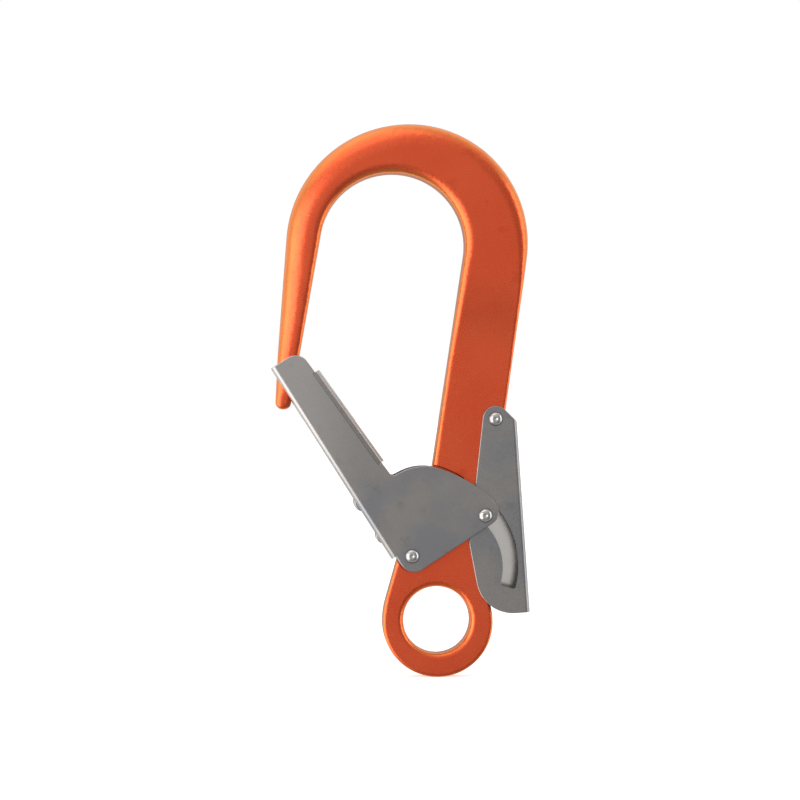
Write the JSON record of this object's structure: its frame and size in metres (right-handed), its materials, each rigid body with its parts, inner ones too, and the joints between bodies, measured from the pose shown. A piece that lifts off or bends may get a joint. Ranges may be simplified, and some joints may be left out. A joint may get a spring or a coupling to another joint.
{
  "type": "scaffold snap hook",
  "caption": "Large open scaffold hook with a forged bow and eye, a folded sheet snap gate that pivots inward and a squeeze lever that locks it.",
  "frame": {"origin": "centre of the attachment eye, in the hook's mid-plane", "axes": "+Z from the eye towards the top of the bow, +X to the right when the front is seen, -Y out of the front"},
  "size_m": [0.112, 0.0219, 0.24],
  "materials": {
    "anodised_aluminium": "satin orange anodised over a bead-blasted forging",
    "sheet_steel": "tumbled stainless sheet with a fine matt grain",
    "rivet_steel": "polished",
    "turned_steel": "fine turned",
    "bronze": "plain sintered bronze",
    "spring_steel": "drawn wire"
  },
  "bodies": {
    "hook": {"hook_body": "anodised_aluminium", "gate_pivot_bush": "bronze", "lever_pivot_bush": "bronze", "gate_thrust_washer_front": "bronze", "gate_thrust_washer_back": "bronze", "lever_thrust_washer_front": "bronze", "lever_thrust_washer_back": "bronze", "gate_return_spring": "spring_steel", "lever_return_spring": "spring_steel"},
    "gate_arm": {"gate": "sheet_steel", "gate_pivot_rivet": "rivet_steel", "gate_pivot_sleeve": "turned_steel", "lock_stud": "rivet_steel"},
    "squeeze_lever": {"lock_lever": "sheet_steel", "lever_pivot_rivet": "rivet_steel", "lever_pivot_sleeve": "turned_steel"}
  },
  "joints": [
    {"name": "gate_hinge", "type": "hinge", "parent": "hook", "child": "gate_arm", "pos_m": [-0.01081, 0, 0.02784], "axis": [0, 1, 0], "range_deg": [0, 46], "stiffness_Nm_per_rad": 0.15, "springref_deg": -57.3, "deforming": ["gate_return_spring"]},
    {"name": "lever_hinge", "type": "hinge", "parent": "hook", "child": "squeeze_lever", "pos_m": [0.02547, 0, 0.08713], "axis": [0, 1, 0], "range_deg": [0, 7.6], "stiffness_Nm_per_rad": 0.4, "springref_deg": -17.19, "deforming": ["lever_return_spring"]}
  ],
  "couplings": [
    {"joint": "lever_hinge", "follows": "gate_hinge", "ratio": 0.165}
  ]
}
